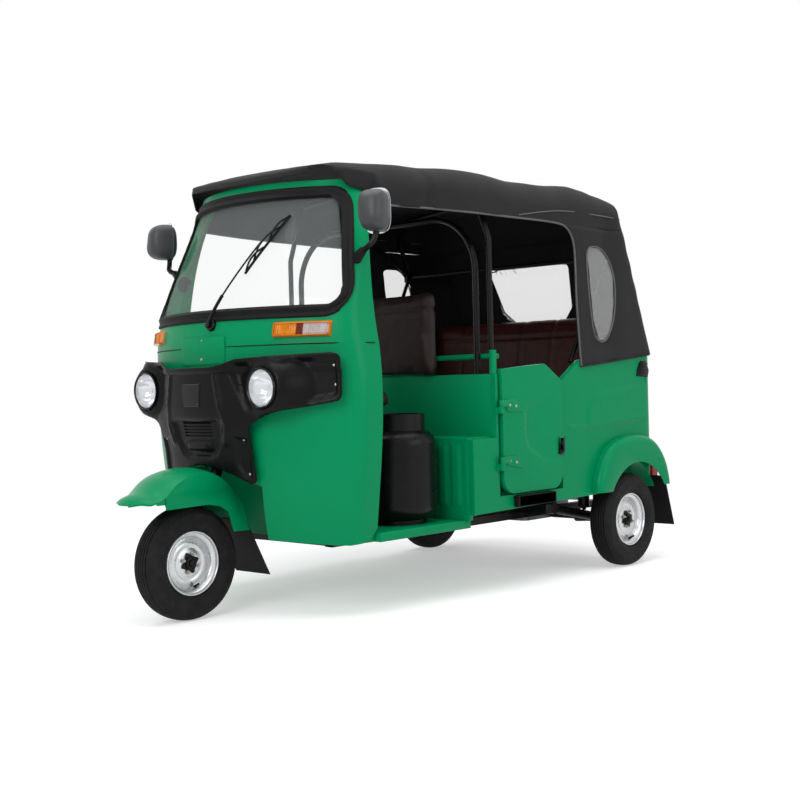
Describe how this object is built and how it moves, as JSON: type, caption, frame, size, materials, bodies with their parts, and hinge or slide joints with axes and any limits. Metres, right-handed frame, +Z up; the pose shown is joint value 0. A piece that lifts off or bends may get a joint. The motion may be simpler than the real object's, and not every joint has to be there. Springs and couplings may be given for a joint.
{
  "type": "auto rickshaw",
  "caption": "Three-wheeled passenger vehicle with a steered front wheel, open driver's place, rear bench, side doors and a soft canopy.",
  "frame": {"origin": "on the ground under the middle of the overall box", "axes": "+X forwards, +Y to the vehicle's left, +Z up"},
  "size_m": [2.635, 1.334, 1.6993],
  "materials": {
    "green_paint": "gloss",
    "black_plastic": "satin",
    "canopy_cloth": "woven, matt",
    "rubber": "matt",
    "black_steel": "satin black",
    "clear_glass": "clear",
    "lamp_glass": "clear lens over a reflector",
    "amber_lens": "gloss",
    "red_lens": "gloss",
    "plate_white": "satin",
    "seat_vinyl": "satin vinyl",
    "engine_alloy": "cast",
    "tyre": "matt",
    "silver_wheel": "silver"
  },
  "bodies": {
    "vehicle_body": {"front_cowl": "green_paint", "windshield_frame": "green_paint", "windshield": "clear_glass", "windshield_gasket": "rubber", "wiper": "black_plastic", "nose_panel": "black_plastic", "headlights": "lamp_glass", "turn_signals": "amber_lens", "cover_plate": "green_paint", "dash_panel": "black_plastic", "floor_pan": "green_paint", "wheel_housing": "green_paint", "bulkhead": "green_paint", "handrail": "green_paint", "body_side_left": "green_paint", "body_side_right": "green_paint", "rear_panel": "green_paint", "rear_fenders": "green_paint", "rear_mudflaps": "rubber", "steps": "black_plastic", "tail_lamps": "red_lens", "rear_bumper": "black_steel", "number_plate": "plate_white", "body_hinges": "black_steel", "canopy_roof": "canopy_cloth", "canopy_sides": "canopy_cloth", "canopy_rear": "canopy_cloth", "hood_hoops": "black_steel", "pillar_hoop": "black_steel", "partition_hoop": "black_steel", "driver_seat_base": "black_steel", "driver_seat_cushion": "seat_vinyl", "driver_seat_back": "seat_vinyl", "rear_seat_base": "green_paint", "rear_seat_cushion": "seat_vinyl", "rear_seat_back": "seat_vinyl", "gas_cylinder": "black_steel", "mirrors": "black_plastic", "brake_pedal": "black_steel", "chassis": "black_steel", "engine": "engine_alloy", "silencer": "black_steel", "trailing_arms": "black_steel", "rear_shocks": "black_steel"},
    "steering": {"front_fork": "black_steel", "front_shock": "black_steel", "front_mudguard": "green_paint", "front_mudflap": "rubber", "handlebar": "black_steel", "handlebar_grips": "rubber"},
    "front_wheel": {"front_tyre": "tyre", "front_rim": "silver_wheel"},
    "rear_wheel_left": {"rear_tyre_left": "tyre", "rear_rim_left": "silver_wheel"},
    "rear_wheel_right": {"rear_tyre_right": "tyre", "rear_rim_right": "silver_wheel"},
    "passenger_door_left": {"door_left": "green_paint"},
    "passenger_door_right": {"door_right": "green_paint"},
    "engine_hatch": {"engine_door": "green_paint"}
  },
  "joints": [
    {"name": "steering", "type": "hinge", "parent": "vehicle_body", "child": "steering", "pos_m": [1.0205, 0, 0.207], "axis": [-0.342, 0, 0.9397], "range_deg": [-40, 40]},
    {"name": "front_wheel_spin", "type": "hinge", "parent": "steering", "child": "front_wheel", "pos_m": [1.0555, 0, 0.207], "axis": [0, 1, 0], "continuous": true},
    {"name": "rear_wheel_left_spin", "type": "hinge", "parent": "vehicle_body", "child": "rear_wheel_left", "pos_m": [-0.9445, 0.575, 0.207], "axis": [0, 1, 0], "continuous": true},
    {"name": "rear_wheel_right_spin", "type": "hinge", "parent": "vehicle_body", "child": "rear_wheel_right", "pos_m": [-0.9445, -0.575, 0.207], "axis": [0, 1, 0], "continuous": true},
    {"name": "door_left_hinge", "type": "hinge", "parent": "vehicle_body", "child": "passenger_door_left", "pos_m": [-0.0285, 0.616, 0.62], "axis": [0, 0, -1], "range_deg": [0, 75]},
    {"name": "door_right_hinge", "type": "hinge", "parent": "vehicle_body", "child": "passenger_door_right", "pos_m": [-0.0285, -0.616, 0.62], "axis": [0, 0, 1], "range_deg": [0, 75]},
    {"name": "engine_door_hinge", "type": "hinge", "parent": "vehicle_body", "child": "engine_hatch", "pos_m": [-1.2185, 0, 0.862], "axis": [0, 1, 0], "range_deg": [0, 75]}
  ]
}
